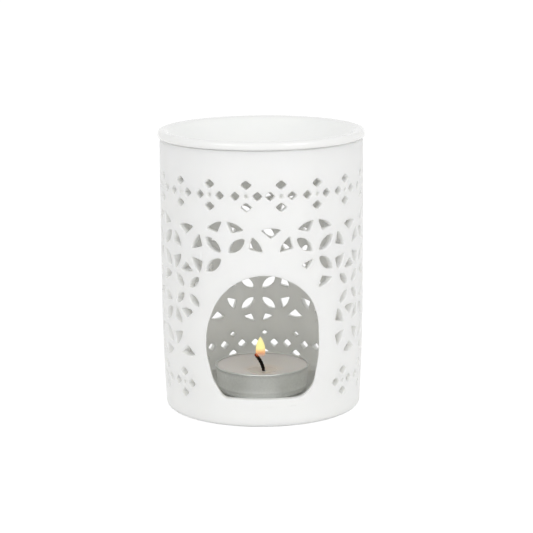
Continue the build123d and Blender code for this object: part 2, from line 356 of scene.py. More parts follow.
def charredWick(emberFrom, emberTo):
    material, tree, shader = newMaterial("charred_wick")
    spot = addSpot(tree, (-1100, 200))
    split = addNode(tree, "ShaderNodeSeparateXYZ", (-920, 300))
    feed(tree, split.inputs[0], spot)
    crust = addNoise(tree, (-920, 0), spot, wickLook["crustScale"], 4.0, 0.65)
    char = addMix(tree, (-500, 100), crust, wickLook["crust"], wickLook["ash"])
    glow = addRange(
        tree, (-720, 300), split.outputs["Z"], emberFrom * metresPerMm, emberTo * metresPerMm
    )
    ember = addMath(tree, (-500, 400), "MULTIPLY", glow, crust)
    setInputs(tree, shader, {
        "Base Color": addMix(tree, (-300, 200), glow, char, wickLook["hot"]),
        "Emission Color": addMix(tree, (-300, 450), ember, (0, 0, 0), wickLook["ember"]),
        "Emission Strength": wickLook["emberPower"],
        "Normal": addBump(tree, (-300, -200), crust, strength=0.7, distance=0.0002),
        "Roughness": 0.85, "Specular IOR Level": 0.1,
    })
    return material


flameLook = {
    "stops": [  # share of the height, colour
        (0.0, (0.9, 0.3, 0.1)), (0.29, (0.97, 0.41, 0.2)), (0.375, (1.0, 0.47, 0.2)),
        (0.46, (1.0, 0.77, 0.34)), (0.54, (1.0, 0.98, 0.4)), (0.85, (1.0, 0.98, 0.43)),
        (1.0, (1.0, 0.86, 0.5)),
    ],
    "edge": (1.0, 0.72, 0.34), "edgeBlend": 0.2, "edgeSoft": 0.5,
    "fadeFrom": 0.15, "fadeTo": 0.46, "seen": 1.0, "light": 1.5,  # strengths for camera and room
}


def candleFlame(bottom, top):
    material, tree, shader = newMaterial("candle_flame")
    spot = addSpot(tree, (-1200, 200))
    split = addNode(tree, "ShaderNodeSeparateXYZ", (-1020, 200))
    feed(tree, split.inputs[0], spot)
    height = addRange(
        tree, (-840, 200), split.outputs["Z"], bottom * metresPerMm, top * metresPerMm
    )
    ramp = addNode(tree, "ShaderNodeValToRGB", (-640, 300))
    stops, elements = flameLook["stops"], ramp.color_ramp.elements
    for element, (position, colour) in zip(elements, (stops[0], stops[-1])):
        element.position, element.color = position, (*colour, 1)
    for position, colour in stops[1:-1]:
        elements.new(position).color = (*colour, 1)
    feed(tree, ramp.inputs["Fac"], height)
    edge = addNode(tree, "ShaderNodeLayerWeight", (-640, -50))
    setInputs(tree, edge, {"Blend": flameLook["edgeBlend"]})
    facing = edge.outputs["Facing"]
    path = addNode(tree, "ShaderNodeLightPath", (-640, 600))
    fade = addRange(tree, (-640, -250), height, flameLook["fadeFrom"], flameLook["fadeTo"])
    inside = addMath(tree, (-450, -200), "SUBTRACT", 1.0, facing)
    soft = addRange(tree, (-300, -200), inside, 0.0, flameLook["edgeSoft"])
    setInputs(tree, shader, {
        "Emission Color": addMix(
            tree, (-300, 250), facing, ramp.outputs["Color"], flameLook["edge"]
        ),
        "Emission Strength": addRange(
            tree, (-300, 550), path.outputs["Is Camera Ray"], 0.0, 1.0,
            flameLook["light"], flameLook["seen"],
        ),
        "Alpha": addMath(tree, (-120, -250), "MULTIPLY", fade, soft),
        "Base Color": (0, 0, 0), "Roughness": 1.0, "Specular IOR Level": 0.0,
    })
    return material


# The wall is modelled as a flat sheet, x along the wall and y up, and then bent round
wall = {
    "radius": 40.1, "thickness": 3.2, "bellyFrom": 48.0, "bellyTo": 88.0, "footRadius": 38.8,
    "topRadius": 39.9, "height": 107.9, "lipRound": 1.0, "lipSteps": 4,
    "sheetFrom": 7.7, "sheetTo": 105.3, "strips": 144, "rows": 12,
}
archway = {
    "halfWidth": 21.75, "height": 48.8, "sill": 11.2, "offset": -0.05, "border": 4.4,
    "ring": 3.0, "ringSteps": 3, "ease": 2.2, "resolution": 6,
    "cutWithin": 32, "cutBelow": 68,  # how far out and how high the straight cut is worked out
    "shares": [
        (0.585, 0.0), (0.85, 0.0625), (0.96, 0.216), (1.0, 0.49), (0.94, 0.703), (0.75, 0.857),
        (0.37, 0.971), (0.12, 1.0), (-0.253, 0.977), (-0.636, 0.869), (-0.895, 0.677),
        (-1.0, 0.428), (-0.945, 0.23), (-0.82, 0.082), (-0.62, 0.0),
    ],
}
lattice = {
    "middle": 52.2, "turn": 4.8, "repeats": 7, "spread": 15.2, "large": 15.0, "small": 11.1,
    "largeShifts": [0.6, 0, 0, -1.9, 0, 0, 0], "smallShifts": [0.3, 1.7, 0, -0.6, 0, 0, 0],
    "edgeHeight": 24.2, "edgeSize": (8.0, 3.3),
}
bands = {
    "topHeight": 90.5, "topTurn": 1.2, "topCount": 17, "frontGap": 19.2, "footHeight": 15.0,
    "footRuns": [(52.3, 21.1, 8), (-50.7, -21.86, 5)],  # first turn, step and count
    "rise": 4.25, "reach": 4.3, "diamond": (4.8, 3.8), "sideDiamond": (4.2, 3.8),
}
dimple = {
    "radius": 0.85, "lip": 0.12, "segments": 14, "fewestSides": 12, "within": 0.2,
    "steps": [(0.12, -0.12), (0.06, -0.9), (0.25, -0.4)],  # inwards and down
}
holes = {
    "ring": 0.51, "corner": 0.6, "cornerSteps": 2, "step": 1.5, "softEdge": 0.36, "edgeSteps": 3,
}
# At the back the holes are smaller and the lower petals lower, as seen through the archway
backHoles = {
    "within": 42, "footTop": 0.7, "petalDrop": 0.9,
    "shares": {
        "large_petal": 0.88, "crown_petal": 0.74, "side_petal": 0.86, "edge_triangle": 0.9,
        "small_petal": 0.88, "inner_triangle": 0.84,
    },
}
base = {
    "round": 1.8, "roundSteps": 5, "footWidth": 6.0, "wallRows": 3, "recess": 1.2,
    "recessRound": 0.5, "recessSteps": 3, "recessEdge": 0.4, "underShares": (0.66, 0.33, 0),
    "floorRound": 3.0, "floorSteps": 6, "floorShares": (0, 0.3, 0.6, 0.85),
}
# The seam of the sheet runs up the back between the holes, as (turn, height)
seam = [
    (190.0, wall["sheetFrom"]), (189.45, 13.0), (189.45, 17.0), (182.9, 22.6),
    (182.9, 81.8), (191.85, 86.0), (191.85, 95.0), (192.5, wall["sheetTo"]),
]
mmPerDegree = radians(1) * wall["radius"]


def radiusAt(height):
    drop = max(0, wall["bellyFrom"] - height) / wall["bellyFrom"]
    rise = max(0, height - wall["bellyTo"]) / (wall["height"] - wall["bellyTo"])
    inFoot = (wall["radius"] - wall["footRadius"]) * drop**2
    inTop = (wall["radius"] - wall["topRadius"]) * rise**2
    return wall["radius"] - inFoot - inTop


def growFace(bm, distance):
    ring = bmesh.ops.inset_individual(
        bm, faces=bm.faces[:], thickness=-distance, use_even_offset=True
    )
    bmesh.ops.delete(bm, geom=ring["faces"], context="FACES")


def drawHole(name, corners, bows):
    # A vertex is spun or pulled along each side, then the outline is closed and its tips rounded
    bm = bmesh.new()
    points = [Vector((x, z, 0)) for x, z in corners]
    for start, end, bow in zip(points, points[1:] + points[:1], bows):
        side = end - start
        steps = max(1, round(side.length / holes["step"]))
        vert = bmesh.ops.create_vert(bm, co=start)["vert"]
        if bow:
            quarter = atan(2 * bow)
            outward = Vector((side.y, -side.x, 0)).normalized()
            centre = (start + end) / 2 - outward * side.length / 2 / tan(2 * quarter)
            bmesh.ops.spin(
                bm, geom=vert, cent=centre, axis=(0, 0, 1), angle=4 * quarter, steps=max(3, steps)
            )
        else:
            bmesh.ops.spin(
                bm, geom=vert, cent=start, axis=(0, 0, 1), dvec=side / steps, steps=steps
            )
    bmesh.ops.remove_doubles(bm, verts=bm.verts, dist=weld["hole"])
    bmesh.ops.contextual_create(bm, geom=bm.edges)
    tips = [v for v in bm.verts if min((v.co - p).length for p in points) < 2 * near]
    roundOff(bm, tips, holes["corner"], holes["cornerSteps"], "VERTICES")
    growFace(bm, holes["ring"])
    return toMesh(bm, name)


def drawArchway():
    # A closed curve through the points, level where it leaves the sill
    curve = bpy.data.curves.new("archway", "CURVE")
    curve.dimensions, curve.fill_mode = "2D", "NONE"
    spline = curve.splines.new("BEZIER")
    spline.bezier_points.add(len(archway["shares"]) - 1)
    spline.use_cyclic_u, spline.resolution_u = True, archway["resolution"]
    for point, (x, z) in zip(spline.bezier_points, archway["shares"]):
        point.co = (
            archway["offset"] + x * archway["halfWidth"], archway["sill"] + z * archway["height"], 0
        )
        point.handle_left_type = point.handle_right_type = "AUTO"
    for point in (spline.bezier_points[0], spline.bezier_points[-1]):
        point.handle_left_type = point.handle_right_type = "FREE"
        point.handle_left = point.co - Vector((archway["ease"], 0, 0))
        point.handle_right = point.co + Vector((archway["ease"], 0, 0))
    holder = bpy.data.objects.new("archway", curve)
    line = bpy.data.meshes.new_from_object(holder)
    bpy.data.objects.remove(holder)
    bm = bmesh.new()
    bm.from_mesh(line)
    bmesh.ops.remove_doubles(bm, verts=bm.verts, dist=weld["archway"])
    sill = [e for e in bm.edges if max(v.co.y for v in e.verts) < archway["sill"] + near]
    bmesh.ops.subdivide_edges(bm, edges=sill, cuts=1)
    face = bmesh.ops.contextual_create(bm, geom=bm.edges)["faces"][0]
    if face.normal.z < 0:
        face.normal_flip()
    outline = [v.co.copy() for v in face.verts]
    for vert in bm.verts:
        vert.co.x = wall["radius"] * asin(vert.co.x / wall["radius"])
    growFace(bm, archway["ring"])
    bm.to_mesh(line)
    bm.free()
    return line, outline


def gapToArchway(outline, x, z):
    # How far a point seen from the front lies outside the archway, below zero inside it
    spot = Vector((x, z, 0))
    inside, nearest = True, float("inf")
    for start, end in zip(outline, outline[1:] + outline[:1]):
        side = end - start
        inside = inside and side.x * (z - start.y) - side.y * (x - start.x) > 0
        share = intersect_point_line(spot, start, end)[1]
        nearest = min(nearest, (spot - start - side * min(1, max(0, share))).length)
    return -nearest if inside else nearest


def seamTurn(height):
    for (turnLow, low), (turnHigh, high) in zip(seam, seam[1:]):
        if height <= high:
            return turnLow + (turnHigh - turnLow) * max(0, height - low) / (high - low)
    return seam[-1][0]


def besideSeam(turn, height):
    # The same turn, counted so that it lies between the two ends of the sheet
    end = seamTurn(height)
    return (turn - end) % 360 + end - 360


def sized(shares, size):
    return [(x * size[0], z * size[1]) for x, z in shares]


def clusterMiddles():
    topStep = (360 - bands["frontGap"]) / (bands["topCount"] - 1)
    topStart = bands["topTurn"] + bands["frontGap"] / 2
    middles = [(topStart + topStep * k, bands["topHeight"]) for k in range(bands["topCount"])]
    for start, step, count in bands["footRuns"]:
        middles += [(start + step * k, bands["footHeight"]) for k in range(count)]
    return middles


def holeKinds():
    # Name, corners from the middle of the group, bow of each side, middles, mirrored copies
    large, small = (lattice["large"],) * 2, (lattice["small"],) * 2
    step = 360 / lattice["repeats"]
    heights = (lattice["middle"] + lattice["spread"], lattice["middle"] - lattice["spread"])
    largeMiddles = [
        (lattice["turn"] + step * (k + 0.5) + shift, height)
        for k, shift in enumerate(lattice["largeShifts"]) for height in heights
    ]
    smallMiddles = [
        (lattice["turn"] + step * k + shift, lattice["middle"])
        for k, shift in enumerate(lattice["smallShifts"])
    ]
    pairs = [(turn, height, way) for turn, height in clusterMiddles() for way in (1, -1)]
    diamonds = [(turn, height + way * bands["rise"]) for turn, height, way in pairs]
    sideReach = bands["reach"] / mmPerDegree
    sideDiamonds = [(turn + way * sideReach, height) for turn, height, way in pairs]
    edgeShape = sized([(0, -0.67), (0.5, 0.33), (-0.5, 0.33)], lattice["edgeSize"])
    edgeTriangle = [(x, z + lattice["edgeHeight"]) for x, z in edgeShape]
    fourTips = [(0.5, 0), (0, 0.5), (-0.5, 0), (0, -0.5)]
    quarters = [(1, 1), (1, -1), (-1, 1), (-1, -1)]
    return [
        ("large_petal", sized([(0.093, 0.077), (0.547, 0.453)], large), [0.22, 0.22],
         largeMiddles, quarters),
        ("crown_petal", sized([(0.187, 0.587), (0.52, 0.667), (0.063, 0.88)], large),
         [0, 0.1, 0], largeMiddles, quarters),
        ("side_petal", sized([(0.633, 0.19), (1.0, 0.10), (0.727, 0.51)], large),
         [0, 0.1, 0], largeMiddles, quarters),
        ("short_petal", sized([(0.063, 0.113), (0.433, 0.247), (0.253, 0.38)], large),
         [0, 0, 0], largeMiddles[:1], quarters[3:]),
        ("small_petal", sized([(0.135, 0.117), (0.60, 0.52)], small), [0.22, 0.22],
         smallMiddles, quarters),
        ("inner_triangle", sized([(-0.324, 0.716), (0.324, 0.716), (0, 1.0)], small),
         [0.09, 0, 0], smallMiddles, quarters[:2]),
        ("edge_triangle", edgeTriangle, [0, 0.1, 0], smallMiddles, quarters[:2]),
        ("diamond", sized(fourTips, bands["diamond"]), [0] * 4, diamonds, quarters[:1]),
        ("side_diamond", sized(fourTips, bands["sideDiamond"]), [0] * 4, sideDiamonds,
         quarters[:1]),
    ]


def addMesh(bm, mesh, place):
    vertsBefore, facesBefore = len(bm.verts), len(bm.faces)
    bm.from_mesh(mesh)
    bm.verts.ensure_lookup_table()
    bm.faces.ensure_lookup_table()
    bmesh.ops.transform(bm, matrix=place, verts=bm.verts[vertsBefore:])
    return bm.faces[facesBefore:]


def shrinkAtBack(name, turn, height, way, middle):
    # Matrix that draws a hole together about its own middle, where it lies at the back
    share, drop = 1, 0
    if abs(turn % 360 - 180) < backHoles["within"]:
        share = backHoles["shares"].get(name, 1)
        if name == "large_petal" and way < 0:
            drop = backHoles["petalDrop"]
        if name == "diamond" and bands["footHeight"] < height < lattice["middle"]:
            share = backHoles["footTop"]
    move, shrink = Matrix.Translation(middle), Matrix.Diagonal((share, share, 1, 1))
    return Matrix.Translation((0, drop, 0)) @ move @ shrink @ move.inverted()


def faceTop(bm):
    for face in bm.faces:
        if face.normal.z < 0:
            face.normal_flip()


def pierceSheet():
    # Every hole is drawn once and placed round the wall, where it stays clear of the archway
    sheet = bmesh.new()
    archMesh, outline = drawArchway()
    holeFaces = []
    for name, corners, bows, middles, copies in holeKinds():
        mesh = drawHole(name, corners, bows)
        middleX = sum(x for x, z in corners) / len(corners)
        middleZ = sum(z for x, z in corners) / len(corners)
        for (turn, height), (side, way) in ((m, c) for m in middles for c in copies):
            clear = True
            for x, z in corners:
                angle = radians(turn) + side * x / wall["radius"]
                gap = gapToArchway(outline, wall["radius"] * sin(angle), height + way * z)
                clear = clear and (cos(angle) < 0 or gap > archway["border"])
            if clear:
                own = turn + side * middleX / mmPerDegree
                shift = besideSeam(own, height + way * middleZ) - own
                place = Matrix.Translation(((turn + shift) * mmPerDegree, height, 0))
                place = place @ Matrix.Diagonal((side, way, 1, 1))
                shrink = shrinkAtBack(name, own, height, way, (middleX, middleZ, 0))
                holeFaces += addMesh(sheet, mesh, place @ shrink)
        bpy.data.meshes.remove(mesh)
    print("holes through the wall:", len(holeFaces))
    archFace = addMesh(sheet, archMesh, Matrix.Identity(4))[0]
    facesBefore = len(sheet.faces)
    for turn, height in clusterMiddles():
        bmesh.ops.create_circle(
            sheet, cap_ends=True, radius=dimple["radius"] + dimple["lip"],
            segments=dimple["segments"],
            matrix=Matrix.Translation((besideSeam(turn, height) * mmPerDegree, height, 0)),
        )
    sheet.faces.ensure_lookup_table()
    dimpleFaces = sheet.faces[facesBefore:]

    # Border: the seam twice, a full turn apart, joined at the top and the bottom
    ends = []
    for shift in (-360, 0):
        line = [
            bmesh.ops.create_vert(sheet, co=((turn + shift) * mmPerDegree, z, 0))["vert"][0]
            for turn, z in seam
        ]
        for lower, upper in zip(line, line[1:]):
            sheet.edges.new((lower, upper))
        ends.append(line)
    for k in (0, -1):
        sheet.edges.new((ends[0][k], ends[1][k]))
    drawn = set(sheet.faces)
    bmesh.ops.triangle_fill(sheet, edges=sheet.edges, use_beauty=True, normal=(0, 0, 1))
    ground = [f for f in sheet.faces if f not in drawn]
    faceTop(sheet)

    # A plain ring round each opening, whose inner edge is the opening itself
    insets = [(holeFaces, holes["ring"])]
    insets += [([archFace], archway["ring"] / archway["ringSteps"])] * archway["ringSteps"]
    for faces, width in insets:
        bmesh.ops.inset_individual(sheet, faces=faces, thickness=width, use_even_offset=True)
    bmesh.ops.delete(sheet, geom=holeFaces + [archFace], context="FACES_ONLY")
    print(f"flat sheet: {len(sheet.faces)} faces")

    # Strips and rows, so that the sheet bends evenly
    rings = set(sheet.faces) - set(ground)
    rings.update(dimpleFaces)
    left, right = min(v.co.x for v in sheet.verts), max(v.co.x for v in sheet.verts)
    stripWidth = 360 / wall["strips"] * mmPerDegree
    places = [k * stripWidth for k in range(-wall["strips"], wall["strips"] + 1)]
    cuts = [((x, 0, 0), (1, 0, 0)) for x in places if left < x < right]
    rowHeight = (wall["sheetTo"] - wall["sheetFrom"]) / wall["rows"]
    cuts += [((0, wall["sheetFrom"] + rowHeight * k, 0), (0, 1, 0)) for k in range(1, wall["rows"])]
    for spot, way in cuts:
        ground = [f for f in sheet.faces if f not in rings]
        parts = set(ground)
        for face in ground:
            parts.update(face.edges)
            parts.update(face.verts)
        bmesh.ops.bisect_plane(sheet, geom=list(parts), dist=nearCut, plane_co=spot, plane_no=way)
    print(f"cut into strips: {len(sheet.faces)} faces")
    return sheet, outline, [f for f in dimpleFaces if f.is_valid]


def onSeam(vert):
    turn = vert.co.x / mmPerDegree
    end = seamTurn(vert.co.y)
    return min(abs(turn - end), abs(turn - end + 360)) * mmPerDegree < near


def selectRims(bm, sideFaces):
    # Edges where a face of the sheet meets the side of an opening
    sides = set(sideFaces)
    return [e for e in bm.edges if len(e.link_faces) == 2 and len(sides & set(e.link_faces)) == 1]


def arcOfRing(centre, radius, start, end, steps):
    angles = [radians(start + (end - start) * k / steps) for k in range(steps + 1)]
    return [(centre[0] + radius * cos(a), centre[1] + radius * sin(a)) for a in angles]


def spinProfile(bm, points, steps, closed=False, centre=0.0):
    # Points are (radius, height), spun round the upright axis at x = centre
    verts = [bmesh.ops.create_vert(bm, co=(centre, -r, z))["vert"][0] for r, z in points]
    edges = [bm.edges.new(pair) for pair in zip(verts, verts[1:] + verts[:1] * closed)]
    bmesh.ops.spin(
        bm, geom=verts + edges, cent=(centre, 0, 0), axis=(0, 0, 1), angle=2 * pi, steps=steps,
        use_merge=True,
    )
    bmesh.ops.remove_doubles(bm, verts=bm.verts, dist=weld["spun"])


def makeWall(material):
    sheet, outline, dimpleFaces = pierceSheet()
    faceTop(sheet)
    top = [e for e in sheet.edges if min(v.co.y for v in e.verts) > wall["sheetTo"] - near]
    lifted = bmesh.ops.extrude_edge_only(sheet, edges=top)["geom"]
    bmesh.ops.translate(
        sheet, vec=(0, wall["height"] - wall["sheetTo"], 0),
        verts=[g for g in lifted if isinstance(g, bmesh.types.BMVert)],
    )
    faceTop(sheet)
    dimpleSpots = [f.calc_center_median() for f in dimpleFaces]

    # Thickness, then the sides that the bent sheet doesn't have are taken away
    everything = sheet.faces[:] + sheet.edges[:] + sheet.verts[:]
    bmesh.ops.solidify(sheet, geom=everything, thickness=wall["thickness"])
    low = min(v.co.z for v in sheet.verts)
    bmesh.ops.translate(sheet, vec=(0, 0, -wall["thickness"] - low), verts=sheet.verts)
    bmesh.ops.recalc_face_normals(sheet, faces=sheet.faces)
    sides = [f for f in sheet.faces if abs(f.normal.z) < upright]
    foot, head = wall["sheetFrom"] + near, wall["height"] - near
    cutAway = [
        f for f in sides
        if all(onSeam(v) for v in f.verts) or max(v.co.y for v in f.verts) < foot
    ]
    bmesh.ops.delete(sheet, geom=cutAway, context="FACES_ONLY")
    sides = [f for f in sides if f.is_valid]
    openings = [f for f in sides if min(v.co.y for v in f.verts) < head]
    print(f"sides of openings: {len(openings)}, cut away {len(cutAway)}")
    rims = selectRims(sheet, openings)
    roundOff(sheet, rims, holes["softEdge"], holes["edgeSteps"], loop_slide=False)
    lids = [f for f in sheet.faces if len(f.verts) >= dimple["fewestSides"] and f.normal.z > level]
    for face in lids:
        spot = face.calc_center_median()
        if min((spot - s).length for s in dimpleSpots) > dimple["within"]:
            continue
        for inward, depth in dimple["steps"]:
            bmesh.ops.inset_individual(sheet, faces=[face], thickness=inward, depth=depth)

    # The sheet is bent round. The archway is cut straight back, so its inner edge moves outwards
    for vert in sheet.verts:
        angle = vert.co.x / wall["radius"]
        height, depth = vert.co.y, vert.co.z
        outer = radiusAt(height)
        nearArchway = abs(vert.co.x) < archway["cutWithin"] and height < archway["cutBelow"]
        if depth < -near and nearArchway:
            away = max(0, gapToArchway(outline, wall["radius"] * sin(angle), height))
            if away < archway["ring"]:
                share = 1 - away / archway["ring"]
                straight = asin(max(-1, min(1, outer * sin(angle) / (outer + depth))))
                angle += (straight - angle) * share
        vert.co = ((outer + depth) * sin(angle), -(outer + depth) * cos(angle), height)
    bmesh.ops.remove_doubles(sheet, verts=sheet.verts, dist=weld["wall"])

    # Soft lip at the top
    lip = {f for f in sheet.faces if f.normal.z > level and f.calc_center_median().z > head}
    lipEdges = {e for f in lip for e in f.edges if len(set(e.link_faces) & lip) == 1}
    roundOff(sheet, list(lipEdges), wall["lipRound"], wall["lipSteps"])

    # Foot and floor, spun and joined on
    rounded, recessRound, floorRound = base["round"], base["recessRound"], base["floorRound"]
    outerFoot = wall["footRadius"] - base["footWidth"]
    rows = base["wallRows"]
    drop = rounded - wall["sheetFrom"]
    heights = [wall["sheetFrom"] + drop * k / rows for k in range(rows + 1)]
    under = [(radiusAt(z), z) for z in heights]
    under += arcOfRing(
        (radiusAt(rounded) - rounded, rounded), rounded, 0, -90, base["roundSteps"]
    )[1:]
    under += arcOfRing(
        (outerFoot + recessRound, recessRound), recessRound, -90, -180, base["recessSteps"]
    )
    under += [(outerFoot, base["recess"]), (outerFoot - base["recessEdge"], base["recess"])]
    under += [(outerFoot * share, base["recess"]) for share in base["underShares"]]
    innerFloor = radiusAt(wall["sheetFrom"]) - wall["thickness"]
    floor = [(innerFloor * share, floorTop) for share in base["floorShares"]]
    floor += arcOfRing(
        (innerFloor - floorRound, floorTop + floorRound), floorRound, -90, 0, base["floorSteps"]
    )
    for points in (under, floor):
        bottom = bmesh.new()
        spinProfile(bottom, points, wall["strips"])
        mesh = toMesh(bottom, "bottom")
        sheet.from_mesh(mesh)
        bpy.data.meshes.remove(mesh)
    bmesh.ops.remove_doubles(sheet, verts=sheet.verts, dist=weld["wall"])
    loose = [e for e in sheet.edges if not e.link_faces]
    bmesh.ops.delete(sheet, geom=loose, context="EDGES")
    print("open edges in the wall:", sum(len(e.link_faces) != 2 for e in sheet.edges))
    finishPiece(sheet, "pierced_wall", "burner", material, ["burner_body"])


makeWall(satinPorcelain())


def risingArc(start, end, steps):
    # An arc that leaves its start level and climbs to its end
    across, up = end[0] - start[0], end[1] - start[1]
    radius = (across**2 + up**2) / (2 * up)
    turn = degrees(asin(across / radius))
    return arcOfRing((start[0], start[1] + radius), radius, -90, turn - 90, steps)


def roundRing(bm, radius, height, offset, segments):
    def offRing(vert):
        return abs(hypot(vert.co.x, vert.co.y) - radius) + abs(vert.co.z - height)

    ring = [e for e in bm.edges if all(offRing(v) < 2 * near for v in e.verts)]
    roundOff(bm, ring, offset, segments)


# Dish, spun from its section. Its rounds are (width, steps)
dish = {
    "radius": 40.8, "rimTop": 111.1, "rimHeight": 3.2, "rimWidth": 3.2, "rimRound": (1.55, 8),
    "innerRound": (1.5, 4), "underRound": (1.1, 6), "shoulderRound": (0.6, 3), "depth": 12.0,
    "flatRadius": 8.0, "thickness": 3.0, "shoulderRadius": 36.0, "shoulderHeight": 2.0,
    # The last two are the radii over which the painted shade on the rim comes in
    "steps": 160, "bowlSteps": 16, "underSteps": 12, "rimShadeFrom": 36.0, "rimShadeTo": 38.6,
}


def makeDish(material):
    bm = bmesh.new()
    rimBottom = dish["rimTop"] - dish["rimHeight"]
    bowlBottom = dish["rimTop"] - dish["depth"]
    bowlUnder = bowlBottom - dish["thickness"]
    bowlEdge = dish["radius"] - dish["rimWidth"]
    shoulderFoot = rimBottom - dish["shoulderHeight"]
    points = [(0, bowlBottom)]
    points += risingArc(
        (dish["flatRadius"], bowlBottom), (bowlEdge, dish["rimTop"]), dish["bowlSteps"]
    )
    points += [
        (dish["radius"], dish["rimTop"]), (dish["radius"], rimBottom),
        (dish["shoulderRadius"], rimBottom),
    ]
    points += risingArc(
        (dish["flatRadius"], bowlUnder), (dish["shoulderRadius"], shoulderFoot), dish["underSteps"]
    )[::-1]
    points += [(0, bowlUnder)]
    spinProfile(bm, points, dish["steps"])
    roundRing(bm, bowlEdge, dish["rimTop"], *dish["innerRound"])
    roundRing(bm, dish["radius"], dish["rimTop"], *dish["rimRound"])
    roundRing(bm, dish["radius"], rimBottom, *dish["underRound"])
    roundRing(bm, dish["shoulderRadius"], shoulderFoot, *dish["shoulderRound"])
    finishPiece(bm, "glazed_dish", "dish", material, ["oil_dish"])


makeDish(glossyGlaze(dish["rimShadeFrom"], dish["rimShadeTo"]))


# Tealight: a pressed cup with a rolled edge, its wax, its wick and the flame
cup = {
    "side": -0.3, "baseRadius": 18.0, "cornerRound": 1.9, "footIn": 0.35, "sheet": 0.3,
    "panelRadius": 14.6, "panelRise": 0.12, "panelSlope": 0.5,
    "steps": 120, "cornerSteps": 8, "innerSteps": 5,
    "ridge": [(2.45, -0.25), (2.75, 0.08), (3.1, 0.18), (3.5, 0.1), (4.0, 0)],  # height, outwards
    "outside": (5.5, 7.5, 9.3), "inside": (9.6, 6.0, 3.2),  # heights of the other points
    "beadMiddle": 18.55, "beadRadius": 0.34, "beadHeight": 10.66, "beadSteps": 16,
    "beadFrom": -75, "beadTo": 215, "dents": 0.12, "dentScale": 0.3, "dentFrom": 7, "dentOver": 4,
}


def cupRadius(height):
    # Outer radius of the cup's wall at a height above its base
    lean = (cup["beadMiddle"] - cup["baseRadius"]) / cup["beadHeight"]
    return cup["baseRadius"] + lean * height


def makeCup(material):
    bm = bmesh.new()
    corner, sheetMetal = cup["cornerRound"], cup["sheet"]
    foot = cup["baseRadius"] - cup["footIn"]
    inner = foot - sheetMetal
    panel, rise = cup["panelRadius"], cup["panelRise"]
    points = [(0, rise), (panel - cup["panelSlope"], rise), (panel, 0)]
    points += arcOfRing((foot - corner, corner), corner, -90, 0, cup["cornerSteps"])
    points += [(cupRadius(height) + out, height) for height, out in cup["ridge"]]
    points += [(cupRadius(height), height) for height in cup["outside"]]
    points += arcOfRing(
        (cup["beadMiddle"], cup["beadHeight"]), cup["beadRadius"], cup["beadFrom"], cup["beadTo"],
        cup["beadSteps"],
    )
    points += [(cupRadius(height) - sheetMetal, height) for height in cup["inside"]]
    points += arcOfRing(
        (inner - corner, sheetMetal + corner), corner, 0, -90, cup["innerSteps"]
    )
    points += [(0, sheetMetal)]
    spinProfile(bm, [(r, z + floorTop) for r, z in points], cup["steps"], centre=cup["side"])
    for vert in bm.verts:
        high = max(0, vert.co.z - floorTop - cup["dentFrom"]) / cup["dentOver"]
        dent = noise.noise(Vector((vert.co.x, vert.co.y, 0)) * cup["dentScale"])
        vert.co *= 1 + high * cup["dents"] / cup["baseRadius"] * dent
    finishPiece(bm, "pressed_cup", "tealight", material, ["tealight_cup"])


wick = {
    "from": 5.0, "bendFrom": 5.5, "bendRadius": 13.0, "bendTurn": 43.2, "length": 15.3,
    "strands": 3, "strandRadius": 0.35, "strandSides": 9, "strandOut": 0.26, "twists": 4.2,
    "steps": 84, "tip": 1.2, "tipShare": 0.6, "crumble": 0.09, "crumbleScale": 2.2,
    "burntFrom": 7.4, "burntOver": 1.5, "burntSwell": 0.24,
    "sway": 0.71, "swayFrom": 9.2, "swayTo": 12.0, "emberFrom": 18.2, "emberTo": 19.6,
}


def wickSway(height):
    # The wick leans to the right inside the wax, before it curls over to the left
    share = max(0, min(1, (height - wick["swayFrom"]) / (wick["swayTo"] - wick["swayFrom"])))
    return wick["sway"] * share**2 * (3 - 2 * share)


wax = {
    "bottom": 5.0, "baseRadius": 17.3, "cornerRound": 1.9, "cornerSteps": 5, "poolRadius": 7.4,
    "top": [
        (18.12, 15.1), (17.8, 14.86), (17.2, 14.6), (15.0, 14.24), (12.0, 13.82), (9.5, 13.45),
        (7.9, 13.2), (7.0, 13.02), (5.5, 12.78), (3.5, 12.52), (1.6, 12.3), (0.95, 12.28),
        (0.65, 12.42),
    ],
    "inside": [(0.65, 9.05), (1.35, 9.05), (1.35, 5.45), (6.3, 5.45), (6.3, 5.0)],
    "swell": 0.07, "swellScale": 0.35, "swellAbove": 12, "swellFrom": 1.5, "swellTo": 17.5,
    "swayTo": 4, "swayOver": 3, "steps": 96,  # the wax follows the wick's sway out to swayTo
}


def makeWax(material):
    bm = bmesh.new()
    corner = wax["cornerRound"]
    points = wax["inside"][-1:]
    middle = (wax["baseRadius"] - corner, wax["bottom"] + corner)
    points += arcOfRing(middle, corner, -90, 0, wax["cornerSteps"])
    points += wax["top"] + wax["inside"][:-1]
    spinProfile(bm, points, wax["steps"], closed=True, centre=cup["side"])
    for vert in bm.verts:
        away = hypot(vert.co.x - cup["side"], vert.co.y)
        if vert.co.z > wax["swellAbove"] and wax["swellFrom"] < away < wax["swellTo"]:
            vert.co.z += wax["swell"] * noise.noise(vert.co * wax["swellScale"])
        follow = max(0, min(1, (wax["swayTo"] - away) / wax["swayOver"]))
        vert.co.x += wickSway(vert.co.z) * follow
    finishPiece(bm, "burnt_wax", "tealight", material, ["tealight_wax"])


